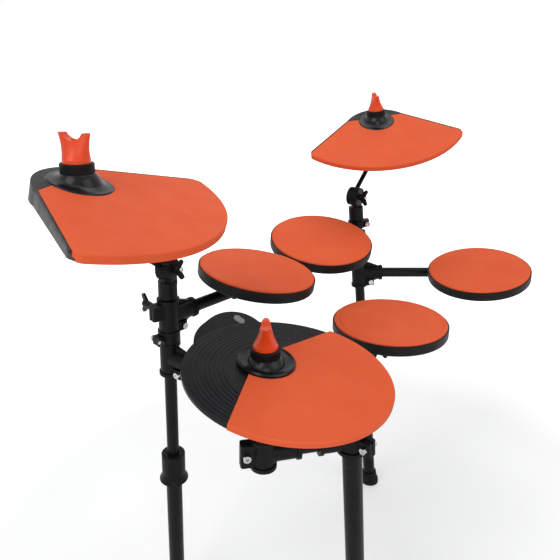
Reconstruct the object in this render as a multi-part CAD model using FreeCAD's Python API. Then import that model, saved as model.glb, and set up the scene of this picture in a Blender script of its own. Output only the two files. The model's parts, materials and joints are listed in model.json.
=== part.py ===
import FreeCAD, Part
import math
import os
from FreeCAD import Placement, Rotation, Vector as V

# Electronic drum kit on a three-post tube rack. Millimetres, +Z up, +X to the right of a viewer who
# looks along +Y. Heights are above the floor, and the finished kit is centred over the origin.

# Fits between pieces
fit = 0.1               # seat of pieces that stay together
play = 0.3              # room between pieces that move on each other
overrun = 3.0           # how far a cut runs past the face it opens

# Tubes of the rack
bar_dia = 22.0
bar_wall = 1.6
leg_dia = 30.0
leg_wall = 1.6

# Posts: where each axis meets the floor and how far it leans to the right per unit of height
left_post_x = -335.0
left_post_y = -124.0
left_post_lean_share = 0.045
rear_bar_heading = 44.609
rear_bar_spare = 92.05  # room on the rear bar beside the shells of two pads
right_post_lean_share = -0.100
front_post_x = 30.0
front_post_y = -319.0
front_post_lean_share = -0.070

# Heights on the posts: the rear bar carries the rest, which stands above or below it
rear_bar_height = 683.0
front_bar_drop = 81.0
front_bar_rise = 22.0   # of its front end above its rear end
front_post_rise = 26.0  # of the post's top above that end
short_arm_drop = 22.0   # below the rear end of the front bar
right_arm_drop = 68.0
left_lock_drop = 40.5
right_lock_rise = 50.0
left_tilter_rise = 87.0
right_tilter_rise = 112.0
left_collar_drop = 289.0
right_collar_drop = 253.0
front_bar_height = rear_bar_height - front_bar_drop
front_bar_end_height = front_bar_height + front_bar_rise
front_post_top = front_bar_end_height + front_post_rise
short_arm_height = front_bar_height - short_arm_drop
right_arm_height = rear_bar_height - right_arm_drop
left_lock_height = rear_bar_height - left_lock_drop
right_lock_height = rear_bar_height + right_lock_rise
left_tilter_height = rear_bar_height + left_tilter_rise
right_tilter_height = rear_bar_height + right_tilter_rise
left_collar_height = rear_bar_height - left_collar_drop
right_collar_height = rear_bar_height - right_collar_drop
slide_overlap = 150.0   # length of post tube inside its leg

# Round pads: gap from the shell to the near post of the rear bar or reach along an arm, offset to the side,
# rise of the top above the bar, and lean of the face to the right and away
tom_1_gap = 55.9
tom_1_side = -49.65
tom_1_rise = 55.6
tom_1_lean_shares = (0.171, 0.030)
tom_2_gap = 34.9
tom_2_side = -13.2
tom_2_rise = 52.6
tom_2_lean_shares = (0.075, -0.178)
tom_3_reach = 242.5
tom_3_side = -91.5
tom_3_rise = 47.0
tom_3_lean_shares = (-0.120, -0.082)
snare_x = 88.0
snare_y = -54.0
snare_rise = 59.4
snare_z = short_arm_height + snare_rise
snare_lean_shares = (-0.002, 0.048)
snare_arm_offset = 34.0 # end of its arm to the left of the pad's middle

# Cymbals: point of the striking face (on the stud of a fan, from its tilter; in the middle of the hi-hat),
# its rise above what carries it, lean, heading
crash_reach = -50.25
crash_back = -206.6
crash_rise = 190.5
crash_lean_shares = (0.284, -0.026)
crash_heading = -11.3
ride_reach = 53.1
ride_back = 105.2
ride_rise = 148.0
ride_lean_shares = (-0.083, -0.392)
ride_heading = -84.3
hihat_x = -105.0
hihat_y = -358.0
hihat_rise = 136.0
hihat_z = short_arm_height + hihat_rise
hihat_lean_shares = (0.132, -0.014)
hihat_heading = -28.7
hihat_offset = 33.0     # middle of the round plate from its stud, towards the player

# How far each cymbal droops on its upright stud, in degrees
fan_droop = 15.0
hihat_droop = 7.0

# Pad
head_depth = 7.0
head_round = 3.0
hoop_width = 5.0
hoop_depth = 1.2
shell_dia = 211.0
shell_rim = 2.5
head_dia = shell_dia - 2 * shell_rim
hoop_inset = 11.0
hoop_dia = head_dia - 2 * hoop_inset
shell_round = 5.0
pad_depth = 23.0
shell_wall = 3.0
shell_rib_count = 8
shell_rib = 2.4
sensor_dia = 27.0
sensor_plate = 1.2
pillar_dia = 20.0
ear_gap = 9.5           # from the underside of a pad or case to its tilt axis
ear_radius = 6.0
ear_width = 6.0
tongue_width = 14.0
tilt_pin_dia = 7.0

# Saddle bracket on a bar
saddle_wall = 4.5
saddle_length = 40.0
neck_dia = 13.0

# T-clamp
clamp_wall = 6.0
clamp_lip = 2.2
clamp_lip_height = 6.0
tall_clamp_half = 32.0
short_clamp_half = 18.0
rod_clamp_half = 24.0
socket_length = 52.0
socket_wall = 4.5
gusset = 6.0
clamp_ear = 17.0
clamp_ear_half = 9.0
clamp_slit = 2.4
bar_end_gap = 1.0
bolt_dia = 6.0
bolt_head_dia = 11.0
bolt_head = 5.0
bolt_key = 2.5
lock_height = 15.0
lock_wall = 8.0

# Legs
collar_dia = 44.0
collar_foot_dia = 54.0
collar_height = 60.0
collar_flare = 16.0
collar_bush = 45.0
foot_dia = 46.0
foot_height = 34.0
foot_top_dia = 37.0
foot_floor = 9.0

# End caps
cap_head = 3.0
cap_plug = 14.0

# Tilter on a post and its boom
tilter_disc_dia = 40.0
tilter_disc = 12.0
tilter_tooth_count = 24
tilter_tooth = 1.4
tilter_drop = 32.0      # from the tilt axis down to the top of the post
tilter_socket_dia = 32.0
tilter_socket = 20.0
tilter_gap = 3.0        # between the socket and the loose disc above it
tilter_neck = 20.0
wing_bolt_dia = 6.0
boom_dia = 10.0
knuckle_dia = 22.0
knuckle = 13.0
knuckle_pin_dia = 6.0
knuckle_pin_head_dia = 11.0
knuckle_pin_head = 3.0

# Wing bolt
wing_hub_dia = 13.0
wing_hub = 11.0
wing_span = 33.0
wing_reach = 17.0
wing_thick = 4.5

# Fan-shaped cymbal
fan_radius = 210.0
fan_arc_back = 32.0     # centre of the outer arc behind the stud
fan_half_angle = 46.0
fan_end_half = 63.0     # half width of the rubber at its narrow end
fan_end_back = 18.0     # narrow end of the rubber behind the stud
fan_tail_back = 50.0    # tail of the base behind the stud
fan_corner = 12.0
fan_border = 2.5        # rim of the base beside the rubber's straight edges
fan_rim_drop = 0.5      # of that rim below the striking face
fan_lip = 3.0           # rubber wrapped over the base along the outer arc
fan_rubber = 6.5
fan_rubber_round = 2.0
fan_outer_depth = 10.0
fan_tail_depth = 24.0
fan_wall = 3.0
fan_hub_dia = 36.0
fan_rib = 2.6
fan_rib_turn = 24.0
stud_dia = 8.0
stud_drop = 38.0        # from the rocking centre down to the knuckle
stud_over = 22.0        # stud above the nut seat
ball_dia = 20.0         # ball that carries a cymbal, centred rock_drop below the striking face
rock_drop = 8.0
rock_hole_dia = 25.0    # opening in a cymbal that the leaning stud needs

# Bell and nut
bell_flange_dia = 79.0
bell_flange = 8.0
bell_dome_dia = 56.0    # ball shape of the bell under the collar
bell_dome_share = 0.90  # of the dome's radius, where the skirt begins
bell_throat_dia = 15.0
bell_mouth_dia = 26.0
collar_ring_dia = 40.0
collar_ring_top = 3.0   # of the collar above the crown of its hollow
nut_base_dia = 33.0
nut_base = 4.0
nut_height = 34.0
nut_top_width = 41.0
nut_top_thick = 12.4
nut_waist_width = 34.5
nut_waist_thick = 20.0
nut_waist_share = 0.5
nut_notch = 8.5
hihat_nut_turn = -60.0
nut_notch_width = 24.0

# Round hi-hat plate
hihat_dia = 280.0
hihat_lip = 2.5
hihat_edge = 5.0
hihat_middle = 13.0
hihat_rubber = 3.5
hihat_lip_drop = 4.0
hihat_groove_first = 84.0
hihat_groove_pitch = 6.0
hihat_groove_count = 9
hihat_groove_width = 2.4
hihat_groove_depth = 0.6
hihat_apex_back = 49.0
hihat_half_angle = 71.3
hihat_rod_below = 28.0
hihat_sleeve_above = 40.0

# Sound module
module_x = -169.0
module_y = -254.0
module_rise = 92.0
module_z = front_bar_height + module_rise
module_lean_shares = (0.16, -0.36)
module_heading = -38.0
module_width = 150.0
module_depth = 116.0
module_end_straight = 16.0
module_corner = (module_depth - module_end_straight) / 2
module_height = 28.0
module_panel = 4.0
module_wall = 2.6
module_board = 1.6
module_board_gap = 6.0
module_board_inset = 9.0
module_post_dia = 8.0
module_post_x_share = 0.34
module_post_y_share = 0.30
module_jack_count = 5
module_jack_dia = 9.0
module_jack_pitch = 18.0
button_width = 20.0
button_depth = 11.0
button_proud = 2.0
button_flange = 1.5
button_flange_thick = 1.5
button_travel = 1.0
button_x_share = -0.27
button_y_share = 0.32
knob_dia = 20.0
knob_height = 11.0
knob_grip_count = 18
knob_grip_dia = 1.6
knob_shaft_dia = 6.0
knob_x_share = 0.30
knob_y_share = -0.05


# Vectors and frames

def unit(vector):
    return vector / vector.Length


def leaning(shares):
    """Unit normal of a face from its lean to the right and away."""
    right, away = shares
    return V(right, away, math.sqrt(1 - right * right - away * away))


def frame(origin, up, ahead):
    """Frame with local Z along up and local X as near to ahead as that allows."""
    z = unit(up)
    y = unit(z.cross(ahead))
    return Placement(origin, Rotation(y.cross(z), y, z, "ZXY"))


def put(shape, place):
    return shape.transformed(place.toMatrix(), True)


def heading(degrees):
    return V(math.cos(math.radians(degrees)), math.sin(math.radians(degrees)), 0)


# Plain solids

def cyl(dia, low, high):
    return Part.makeCylinder(dia / 2, high - low, V(0, 0, low))


def cyl_y(dia, low, high):
    return Part.makeCylinder(dia / 2, high - low, V(0, low, 0), V(0, 1, 0))


def block(x0, x1, y0, y1, z0, z1):
    return Part.makeBox(x1 - x0, y1 - y0, z1 - z0, V(x0, y0, z0))


def face_of(moves, lift):
    """Face from a start point and moves: a point is a line, a pair of points an arc by its middle."""
    here = moves[0]
    edges = []
    for move in moves[1:] + [moves[0]]:
        if isinstance(move[0], tuple):
            edges.append(Part.Arc(lift(here), lift(move[0]), lift(move[1])).toShape())
            here = move[1]
        elif lift(here).distanceToPoint(lift(move)) > 0:
            edges.append(Part.makeLine(lift(here), lift(move)))
            here = move
    return Part.Face(Part.Wire(edges))


def turned(moves):
    """Solid of revolution about Z from an outline in radius and height."""
    return face_of(moves, lambda p: V(p[0], 0, p[1])).revolve(V(), V(0, 0, 1), 360)


def prism(moves, low, high):
    return face_of(moves, lambda p: V(p[0], p[1], low)).extrude(V(0, 0, high - low))


def plate_xz(moves, thick):
    """Flat plate in the XZ plane, centred on Y."""
    return face_of(moves, lambda p: V(p[0], -thick / 2, p[1])).extrude(V(0, thick, 0))


def tube(start, end, dia, wall):
    length = end.sub(start).Length
    solid = cyl(dia, 0, length).cut(cyl(dia - 2 * wall, -overrun, length + overrun))
    return put(solid, frame(start, end.sub(start), V(1, 0, 0) + V(0, 1, 0)))


def rounded(width, depth, corner):
    """Rectangle outline with round corners, as moves."""
    x, y = width / 2, depth / 2
    k = corner * (1 - math.sqrt(1 / 2))
    return [(-x + corner, -y), (x - corner, -y), ((x - k, -y + k), (x, -y + corner)),
            (x, y - corner), ((x - k, y - k), (x - corner, y)), (-x + corner, y),
            ((-x + k, y - k), (-x, y - corner)), (-x, -y + corner), ((-x + k, -y + k), (-x + corner, -y))]


def joined(first, *others):
    return first.fuse(list(others)).removeSplitter()


# Places that several pieces share

def left_post(height):
    return V(left_post_x + left_post_lean_share * height, left_post_y, height)


rear_dir = heading(rear_bar_heading)
rear_side = V(0, 0, 1).cross(rear_dir)
rear_start = left_post(rear_bar_height)
rear_end = rear_start + rear_dir * (2 * shell_dia + rear_bar_spare)


def right_post(height):
    """Point of the right post, which passes the end of the rear bar."""
    rise = height - rear_bar_height
    return rear_end + V(right_post_lean_share * rise, 0, rise)


def front_post(height):
    return V(front_post_x + front_post_lean_share * height, front_post_y, height)


left_axis = unit(V(left_post_lean_share, 0, 1))
right_axis = unit(V(right_post_lean_share, 0, 1))
front_axis = unit(V(front_post_lean_share, 0, 1))

right_dir = V(1, 0, 0)
right_hub = right_post(right_arm_height)
right_end = right_hub + right_dir * tom_3_reach
tom_1_bar = rear_start + rear_dir * (tom_1_gap + shell_dia / 2)
tom_2_bar = rear_end - rear_dir * (tom_2_gap + shell_dia / 2)
tom_1 = frame(tom_1_bar + rear_side * tom_1_side + V(0, 0, tom_1_rise), leaning(tom_1_lean_shares), right_dir)
tom_2 = frame(tom_2_bar + rear_side * tom_2_side + V(0, 0, tom_2_rise), leaning(tom_2_lean_shares), right_dir)
tom_3 = frame(right_end + V(0, tom_3_side, tom_3_rise), leaning(tom_3_lean_shares), right_dir)
snare = frame(V(snare_x, snare_y, snare_z), leaning(snare_lean_shares), V(1, 0, 0))
crash = frame(left_post(left_tilter_height) + V(crash_reach, crash_back, crash_rise),
              leaning(crash_lean_shares), heading(crash_heading))
ride = frame(right_post(right_tilter_height) + V(ride_reach, ride_back, ride_rise),
             leaning(ride_lean_shares), heading(ride_heading))
hihat_disc = frame(V(hihat_x, hihat_y, hihat_z), leaning(hihat_lean_shares), heading(hihat_heading))
hihat = hihat_disc.multiply(Placement(V(-hihat_offset, 0, 0), Rotation()))
module = frame(V(module_x, module_y, module_z), leaning(module_lean_shares), heading(module_heading))


def up_of(place):
    return place.Rotation.multVec(V(0, 0, 1))


def stud_of(place, droop):
    """Frame of the stud under a drooping cymbal, from the centre that it rocks about."""
    return place.multiply(Placement(V(0, 0, -rock_drop), Rotation(V(0, 1, 0), -droop)))


crash_stud_place = stud_of(crash, fan_droop)
ride_stud_place = stud_of(ride, fan_droop)
hihat_stud_place = stud_of(hihat, hihat_droop)


def on_rod(height):
    """Point of the hi-hat rod at a height."""
    axis = up_of(hihat_stud_place)
    return hihat_stud_place.Base - axis * ((hihat_stud_place.Base.z - height) / axis.z)


front_start, front_end = left_post(front_bar_height), front_post(front_bar_end_height)
front_dir = unit(front_end - front_start)
short_hub = front_post(short_arm_height)
hihat_hub = on_rod(short_arm_height)
hihat_arm_dir = unit(hihat_hub - short_hub)
snare_end = V(snare_x - snare_arm_offset, snare_y, short_arm_height)
snare_dir = unit(snare_end - short_hub)


def foot_of(point, start, along):
    """Nearest point of a bar to a place, seen from above."""
    flat = V(point.x - start.x, point.y - start.y, 0)
    return start + along * flat.dot(along)


def tilt_axis(place, under, bar_point):
    """Middle of a tilt joint: above a bar, ear_gap below the underside of what tilts."""
    normal = up_of(place)
    rise = (place.Base - bar_point).dot(normal) / normal.z - (under + ear_gap) / normal.z
    return bar_point + V(0, 0, rise)


pad_bars = {
    "tom_1": (tom_1, tom_1_bar, rear_dir),
    "tom_2": (tom_2, tom_2_bar, rear_dir),
    "tom_3": (tom_3, right_end, right_dir),
    "snare": (snare, snare_end, snare_dir),
}
pad_tilts = {name: (tilt_axis(place, pad_depth, bar), along)
             for name, (place, bar, along) in pad_bars.items()}
module_bar = foot_of(module.Base, front_start, front_dir)
module_tilt = tilt_axis(module, module_height, module_bar)
module_across = unit(up_of(module).cross(V(0, 0, 1)))


# Fasteners

def bolt(grip):
    """Socket-head bolt with its nut, along Y, holding a stack from -grip / 2 to grip / 2."""
    half = grip / 2
    head = cyl_y(bolt_head_dia, half, half + bolt_head)
    head = head.cut(cyl_y(bolt_head_dia / 2, half + bolt_head - bolt_key, half + bolt_head + overrun))
    return joined(head, cyl_y(bolt_dia, -half - bolt_head, half), hex_nut(-half - bolt_head, -half))


def hex_nut(low, high):
    ring = [V(bolt_head_dia / 2 * math.cos(math.radians(60 * i)), low,
              bolt_head_dia / 2 * math.sin(math.radians(60 * i))) for i in range(7)]
    return Part.Face(Part.makePolygon(ring)).extrude(V(0, high - low, 0))


def wing_bolt(shank, neck):
    """Wing bolt along Y: its neck starts at Y 0, its wings follow, and its shank runs to -shank."""
    half = wing_span / 2
    low, tip = wing_hub / 4, wing_reach
    wings = face_of([(-wing_hub_dia / 2, low), (wing_hub_dia / 2, low), (half, tip - wing_hub / 2),
                     ((half - wing_hub / 8, tip), (half - wing_hub / 2, tip)), (0, wing_hub),
                     (-half + wing_hub / 2, tip),
                     ((-half + wing_hub / 8, tip), (-half, tip - wing_hub / 2))],
                    lambda p: V(-wing_thick / 2, p[1], p[0])).extrude(V(wing_thick, 0, 0))
    wings.translate(V(0, neck, 0))
    hub = cyl_y(wing_hub_dia, 0, neck + wing_hub)
    return joined(hub, wings, cyl_y(wing_bolt_dia, -shank, wing_hub / 2))


def end_cap(dia, wall):
    """Plug of a tube end: the tube ends at Z 0."""
    bore = dia - 2 * wall - 2 * fit
    return turned([(0, -cap_plug), (bore / 2, -cap_plug), (bore / 2, 0), (dia / 2, 0),
                   (dia / 2, cap_head / 2), ((dia / 2 - cap_head / 8, cap_head * 7 / 8),
                                             (dia / 2 - cap_head / 2, cap_head)), (0, cap_head)])


# Clamps

def clamp_ears(tube_dia, low, high, turn):
    """Pair of split ears between two heights: solid, place along the ears and distance of the bolt."""
    barrel = tube_dia / 2 + clamp_wall
    reach = barrel + clamp_ear
    ears = block(0, reach, -clamp_ear_half, clamp_ear_half, low, high)
    rims = [e for e in ears.Edges if abs(e.CenterOfMass.x - reach) < fit
            and abs(abs(e.CenterOfMass.y) - clamp_ear_half) < fit]
    ears = ears.makeFillet(clamp_ear_half / 2, rims)
    place = Placement(V(), Rotation(V(0, 0, 1), turn))
    return put(ears, place), place, barrel + clamp_ear / 2


def ear_seat(kind, half, sockets):
    """Heights of a pair of ears, of its slit and of its bolt, and its turn about the post."""
    tall, row = half - clamp_lip_height, half - 2 * clamp_lip_height
    under = -bar_dia / 2 - socket_wall
    if kind == "under":
        return -half, under, -half - overrun, under, clamp_lip_height * 3 / 2 - half, toward(sockets)
    if kind == "over":
        return 0, tall, 0, half + overrun, row, toward(sockets) + 180
    return -tall, tall, -half - overrun, half + overrun, 0, toward(sockets) + 180


def t_clamp(tube_dia, half, sockets, kinds):
    """Clamp on a post along Z with sockets for bars along the given directions and pairs of ears."""
    barrel = tube_dia + 2 * clamp_wall
    socket_dia = bar_dia + 2 * socket_wall
    solids, spots = [], []
    cuts = [cyl(tube_dia + 2 * fit, -half - overrun, half + overrun)]
    for kind in kinds:
        low, high, slit_low, slit_high, row, turn = ear_seat(kind, half, sockets)
        ears, place, out = clamp_ears(tube_dia, low, high, turn)
        solids.append(ears)
        reach = out + clamp_ear
        cuts.append(put(block(0, reach, -clamp_slit / 2, clamp_slit / 2, slit_low, slit_high), place))
        spots.append(place.multiply(Placement(V(out, 0, row), Rotation(V(0, 0, 1), 180 if row < 0 else 0))))
        hole = cyl_y(bolt_dia + 2 * play, -clamp_ear_half - overrun, clamp_ear_half + overrun)
        cuts.append(put(hole, spots[-1]))
    for low in (-half, half - clamp_lip_height):
        solids.append(cyl(barrel + 2 * clamp_lip, low, low + clamp_lip_height))
    for along in sockets:
        place = frame(V(), along, V(0, 0, 1))
        high, out = half - clamp_lip_height, socket_length - clamp_lip_height
        web = plate_xz([(-high, 0), (-high, barrel / 2), (-socket_dia / 2, out), (socket_dia / 2, out),
                        (high, barrel / 2), (high, 0)], gusset)
        lip = cyl(socket_dia + 2 * clamp_lip, out, socket_length)
        solids += [put(s, place) for s in (cyl(socket_dia, 0, socket_length), lip, web)]
        start = tube_dia / 2 + bar_end_gap
        cuts.append(put(cyl(bar_dia + 2 * fit, start, socket_length + overrun), place))
    body = cyl(barrel, -half, half).fuse(solids).cut(Part.makeCompound(cuts)).removeSplitter()
    return body, spots


def ring_lock(tube_dia, turn):
    """Split ring that holds a clamp or tube at its height."""
    outer = tube_dia + 2 * lock_wall
    half = lock_height / 2
    reach = outer / 2 + clamp_ear / 2
    place = Placement(V(), Rotation(V(0, 0, 1), turn))
    ears = put(block(0, reach, -clamp_ear_half, clamp_ear_half, -half, half), place)
    tall = half + overrun
    slit = put(block(0, reach + overrun, -clamp_slit / 2, clamp_slit / 2, -tall, tall), place)
    spot = place.multiply(Placement(V(outer / 2 + clamp_ear / 4, 0, 0), Rotation(V(0, 0, 1), 180)))
    hole = put(cyl_y(bolt_dia + 2 * fit, -clamp_ear_half - overrun, clamp_ear_half + overrun), spot)
    body = joined(cyl(outer, -half, half), ears)
    for cut in (cyl(tube_dia + 2 * fit, -half - overrun, half + overrun), slit, hole):
        body = body.cut(cut)
    return body, [spot]


def clamp_table():
    """Each clamp: place and axis of its post, tube, half height, socket directions and pairs of ears."""
    left = (left_post(rear_bar_height), left_axis)
    left_low = (left_post(front_bar_height), left_axis)
    right = (right_post(rear_bar_height), right_axis)
    right_low = (right_hub, right_axis)
    front = (front_end, front_axis)
    front_low = (short_hub, front_axis)
    rod = (hihat_hub, up_of(hihat_stud_place))
    return [
        (left, bar_dia, tall_clamp_half, [rear_dir], ("under", "over")),
        (left_low, bar_dia, tall_clamp_half, [front_dir], ("under",)),
        (right, bar_dia, tall_clamp_half, [rear_dir * -1], ("under",)),
        (right_low, bar_dia, tall_clamp_half, [right_dir], ("under",)),
        (front, leg_dia, short_clamp_half, [front_dir * -1], ("back",)),
        (front_low, leg_dia, short_clamp_half, [hihat_arm_dir, snare_dir], ("back",)),
        (rod, bar_dia, rod_clamp_half, [hihat_arm_dir * -1], ("back",)),
    ]


def toward(sockets):
    """Turn about the post, in degrees, of what faces the sockets."""
    total = sum((unit(V(s.x, s.y, 0)) for s in sockets), V())
    return math.degrees(math.atan2(total.y, total.x))


def rack_clamps():
    """All clamps and ring locks of the rack, with their bolts and the place of the wing bolt."""
    solids, bolts = [], []
    for (spot, axis), tube_dia, half, sockets, kinds in clamp_table():
        place = frame(spot, axis, V(1, 0, 0))
        local = [place.Rotation.inverted().multVec(s) for s in sockets]
        body, spots = t_clamp(tube_dia, half, local, kinds)
        solids.append(put(body, place))
        if not bolts:
            spots.pop()     # the wing bolt takes the upper ears of the rear clamp on the left post
        bolts += [put(bolt(2 * clamp_ear_half), place.multiply(s)) for s in spots]
    for spot, axis, turn in ((left_post(left_lock_height), left_axis, toward([rear_dir]) + 180),
                             (right_post(right_lock_height), right_axis, toward([right_dir]))):
        place = frame(spot, axis, V(1, 0, 0))
        body, spots = ring_lock(bar_dia, turn)
        solids.append(put(body, place))
        bolts += [put(bolt(2 * clamp_ear_half), place.multiply(s)) for s in spots]
    return solids, bolts


def rear_wing_place():
    """Frame of the wing bolt in the upper ears of the rear clamp on the left post."""
    place = frame(left_post(rear_bar_height), left_axis, V(1, 0, 0))
    local = place.Rotation.inverted().multVec(rear_dir)
    turn = Placement(V(), Rotation(V(0, 0, 1), toward([local]) + 180))
    out = bar_dia / 2 + clamp_wall + clamp_ear / 2
    row = V(out, -clamp_ear_half - play, tall_clamp_half - 2 * clamp_lip_height)
    spot = Placement(row, Rotation(V(0, 0, 1), 180))
    return place.multiply(turn).multiply(spot)


# Legs

def height_collar():
    """Collar on a leg along Z: its top is at Z 0 and its bush reaches down between the tubes."""
    bore = bar_dia / 2 + play
    inner = leg_dia / 2 - leg_wall - fit
    outer = leg_dia / 2 + fit
    low = -collar_height
    seat = -collar_height / 3
    return turned([(bore, 0), (collar_dia / 2 - clamp_lip, 0),
                   ((collar_dia / 2 - clamp_lip / 4, -clamp_lip / 4), (collar_dia / 2, -clamp_lip)),
                   (collar_dia / 2, low + collar_flare),
                   ((collar_dia / 2 + collar_flare / 8, low + collar_flare / 2),
                    (collar_foot_dia / 2, low + clamp_lip)),
                   (collar_foot_dia / 2, low), (outer, low), (outer, seat), (inner, seat),
                   (inner, seat - collar_bush), (bore, seat - collar_bush)])


def rubber_foot(tube_dia):
    """Boot on the end of a leg along Z, before its sole is cut level with the floor."""
    bore = tube_dia / 2 + fit
    return turned([(0, -foot_height), (foot_dia / 2, -foot_height), (foot_dia / 2, foot_floor),
                   ((foot_dia / 2 - clamp_lip / 4, foot_floor + clamp_lip / 2),
                    (foot_dia / 2 - clamp_lip, foot_floor + clamp_lip)),
                   (foot_top_dia / 2, foot_height), (bore, foot_height), (bore, foot_floor),
                   (0, foot_floor)])


def level_foot(axis, spot):
    """Foot whose sole lies flat on the floor under a leaning leg."""
    foot = put(rubber_foot(leg_dia), frame(spot, axis, V(1, 0, 0)))
    wide = 2 * foot_dia
    floor = block(spot.x - wide, spot.x + wide, spot.y - wide, spot.y + wide, -wide, 0)
    return foot.cut(floor)


def leg(post, axis, collar_top):
    """Tube, collar and foot of a telescoping leg."""
    top = post(collar_top)
    seat = top - axis * (collar_height / 3)
    start = post(0) + axis * foot_floor
    collar = put(height_collar(), frame(top, axis, V(1, 0, 0)))
    return tube(start, seat, leg_dia, leg_wall), collar, level_foot(axis, post(0))


# Saddle brackets with a tilt joint

def saddle(bar_point, bar_dir, joint, joint_dir):
    """Saddle round a bar with a neck and tongue up to a tilt joint."""
    outer = bar_dia + 2 * saddle_wall
    half = saddle_length / 2
    ring = put(cyl(outer, -half, half), frame(bar_point, bar_dir, V(0, 0, 1)))
    rise = joint.z - bar_point.z
    neck = Part.makeCylinder(neck_dia / 2, rise - ear_radius - play, bar_point, V(0, 0, 1))
    across = frame(joint, joint_dir, V(0, 0, 1))
    tongue = cyl(2 * ear_radius, -tongue_width / 2, tongue_width / 2)
    web = block(-rise, 0, -ear_radius, ear_radius, -tongue_width / 2, tongue_width / 2)
    body = ring.fuse([neck, put(tongue, across), put(web, across)])
    body = body.cut(put(cyl(bar_dia + 2 * fit, -half - overrun, half + overrun),
                        frame(bar_point, bar_dir, V(0, 0, 1))))
    wide = tongue_width / 2 + overrun
    return body.cut(put(cyl(tilt_pin_dia + 2 * play, -wide, wide), across)).removeSplitter()


def tilt_ears(place, under, joint, joint_dir):
    """Ears and pin below the underside of a tilting piece, in world coordinates."""
    across = frame(joint, joint_dir, V(0, 0, 1))
    near = tongue_width / 2 + play
    far = near + ear_width
    rise = ear_gap + ear_radius
    ears = [cyl(tilt_pin_dia, -far, far)]
    for low, high in ((-far, -near), (near, far)):
        ears += [cyl(2 * ear_radius, low, high), block(0, rise, -ear_radius, ear_radius, low, high)]
    body = put(ears[0].fuse(ears[1:]), across)
    skin = place.multiply(Placement(V(0, 0, -under + shell_wall / 2), Rotation()))
    wide = 2 * shell_dia
    above = put(block(-wide, wide, -wide, wide, 0, wide), skin)
    return body.cut(above)


# Round pads

def pad_head(hoop):
    """Rubber head with a rounded edge and, on the snare, a raised hoop line."""
    r = head_dia / 2
    bend = head_round * (1 - math.sqrt(1 / 2))
    moves = [(0, -head_depth), (r, -head_depth), (r, -head_round), ((r - bend, -bend), (r - head_round, 0))]
    if hoop:
        edge = hoop_dia / 2
        moves += [(edge + hoop_width, 0), (edge + hoop_width / 2, -hoop_depth), (edge, 0)]
    return turned(moves + [(0, 0)])


def pad_shell():
    """Cup of the pad with a rolled lower edge, radial ribs and a hub for the sensor."""
    r = shell_dia / 2
    inner = r - shell_wall
    bend = shell_round * (1 - math.sqrt(1 / 2))
    floor = -pad_depth + shell_wall
    cup = turned([(0, -pad_depth), (r - shell_round, -pad_depth),
                  ((r - bend, -pad_depth + bend), (r, -pad_depth + shell_round)), (r, -head_depth / 2),
                  (head_dia / 2 + fit, -head_depth / 2), (head_dia / 2 + fit, -head_depth),
                  (inner - shell_wall, -head_depth), (inner - shell_wall, floor), (0, floor)])
    rib_top = -head_depth - shell_rib
    rib = block(pillar_dia, inner - shell_wall, -shell_rib / 2, shell_rib / 2, floor, rib_top)
    ribs = [put(rib, Placement(V(), Rotation(V(0, 0, 1), 360 * i / shell_rib_count)))
            for i in range(shell_rib_count)]
    return cup.fuse(ribs)


def pad_sensor():
    """Foam pillar on the floor of the pad with a piezo plate under the rubber."""
    floor = -pad_depth + shell_wall
    top = -head_depth
    return joined(cyl(pillar_dia, floor, top - sensor_plate), cyl(sensor_dia, top - sensor_plate, top))


# Cymbals

def fan_outline(inset, tail, rim):
    """Fan outline: two straight edges, an arc drawn in by rim, and a narrow end that may bulge by tail."""
    slope = math.tan(math.radians(fan_half_angle))
    shift = inset / math.cos(math.radians(fan_half_angle))
    rise = fan_end_half + fan_end_back * slope - shift
    r = fan_radius - rim
    a, b, c = 1 + slope ** 2, rise * slope + fan_arc_back, rise ** 2 + fan_arc_back ** 2 - r ** 2
    far = (-b + math.sqrt(b * b - a * c)) / a
    near = inset - fan_end_back
    side, end = rise + slope * far, rise + slope * near
    moves = [(near, -end), (far, -side), ((r - fan_arc_back, 0), (far, side)), (near, end)]
    if tail:
        moves.append(((inset - tail, 0), (near, -end)))
    return moves, (far, side)


def round_corners(solid, corner, radius):
    """Round the two upright edges where the straight sides meet the arc."""
    edges = [e for e in solid.Edges if abs(e.CenterOfMass.x - corner[0]) < fit
             and abs(abs(e.CenterOfMass.y) - corner[1]) < fit]
    return solid.makeFillet(radius, edges)


def fan_rubber_pad():
    """Rubber playing face of a fan, open round the bell."""
    moves, corner = fan_outline(fan_border, 0, 0)
    pad = round_corners(prism(moves, -fan_outer_depth, 0), corner, fan_corner)
    rims = [e for e in pad.Edges if abs(e.BoundBox.ZMin) < fit and abs(e.BoundBox.ZMax) < fit]
    pad = pad.makeFillet(fan_rubber_round, rims)
    moves, corner = fan_outline(-overrun, 0, fan_lip)
    pad = pad.cut(round_corners(prism(moves, -fan_outer_depth - overrun, -fan_rubber), corner, fan_corner))
    return pad.cut(cyl(bell_flange_dia + 2 * fit, -fan_rubber - overrun, overrun))


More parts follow.
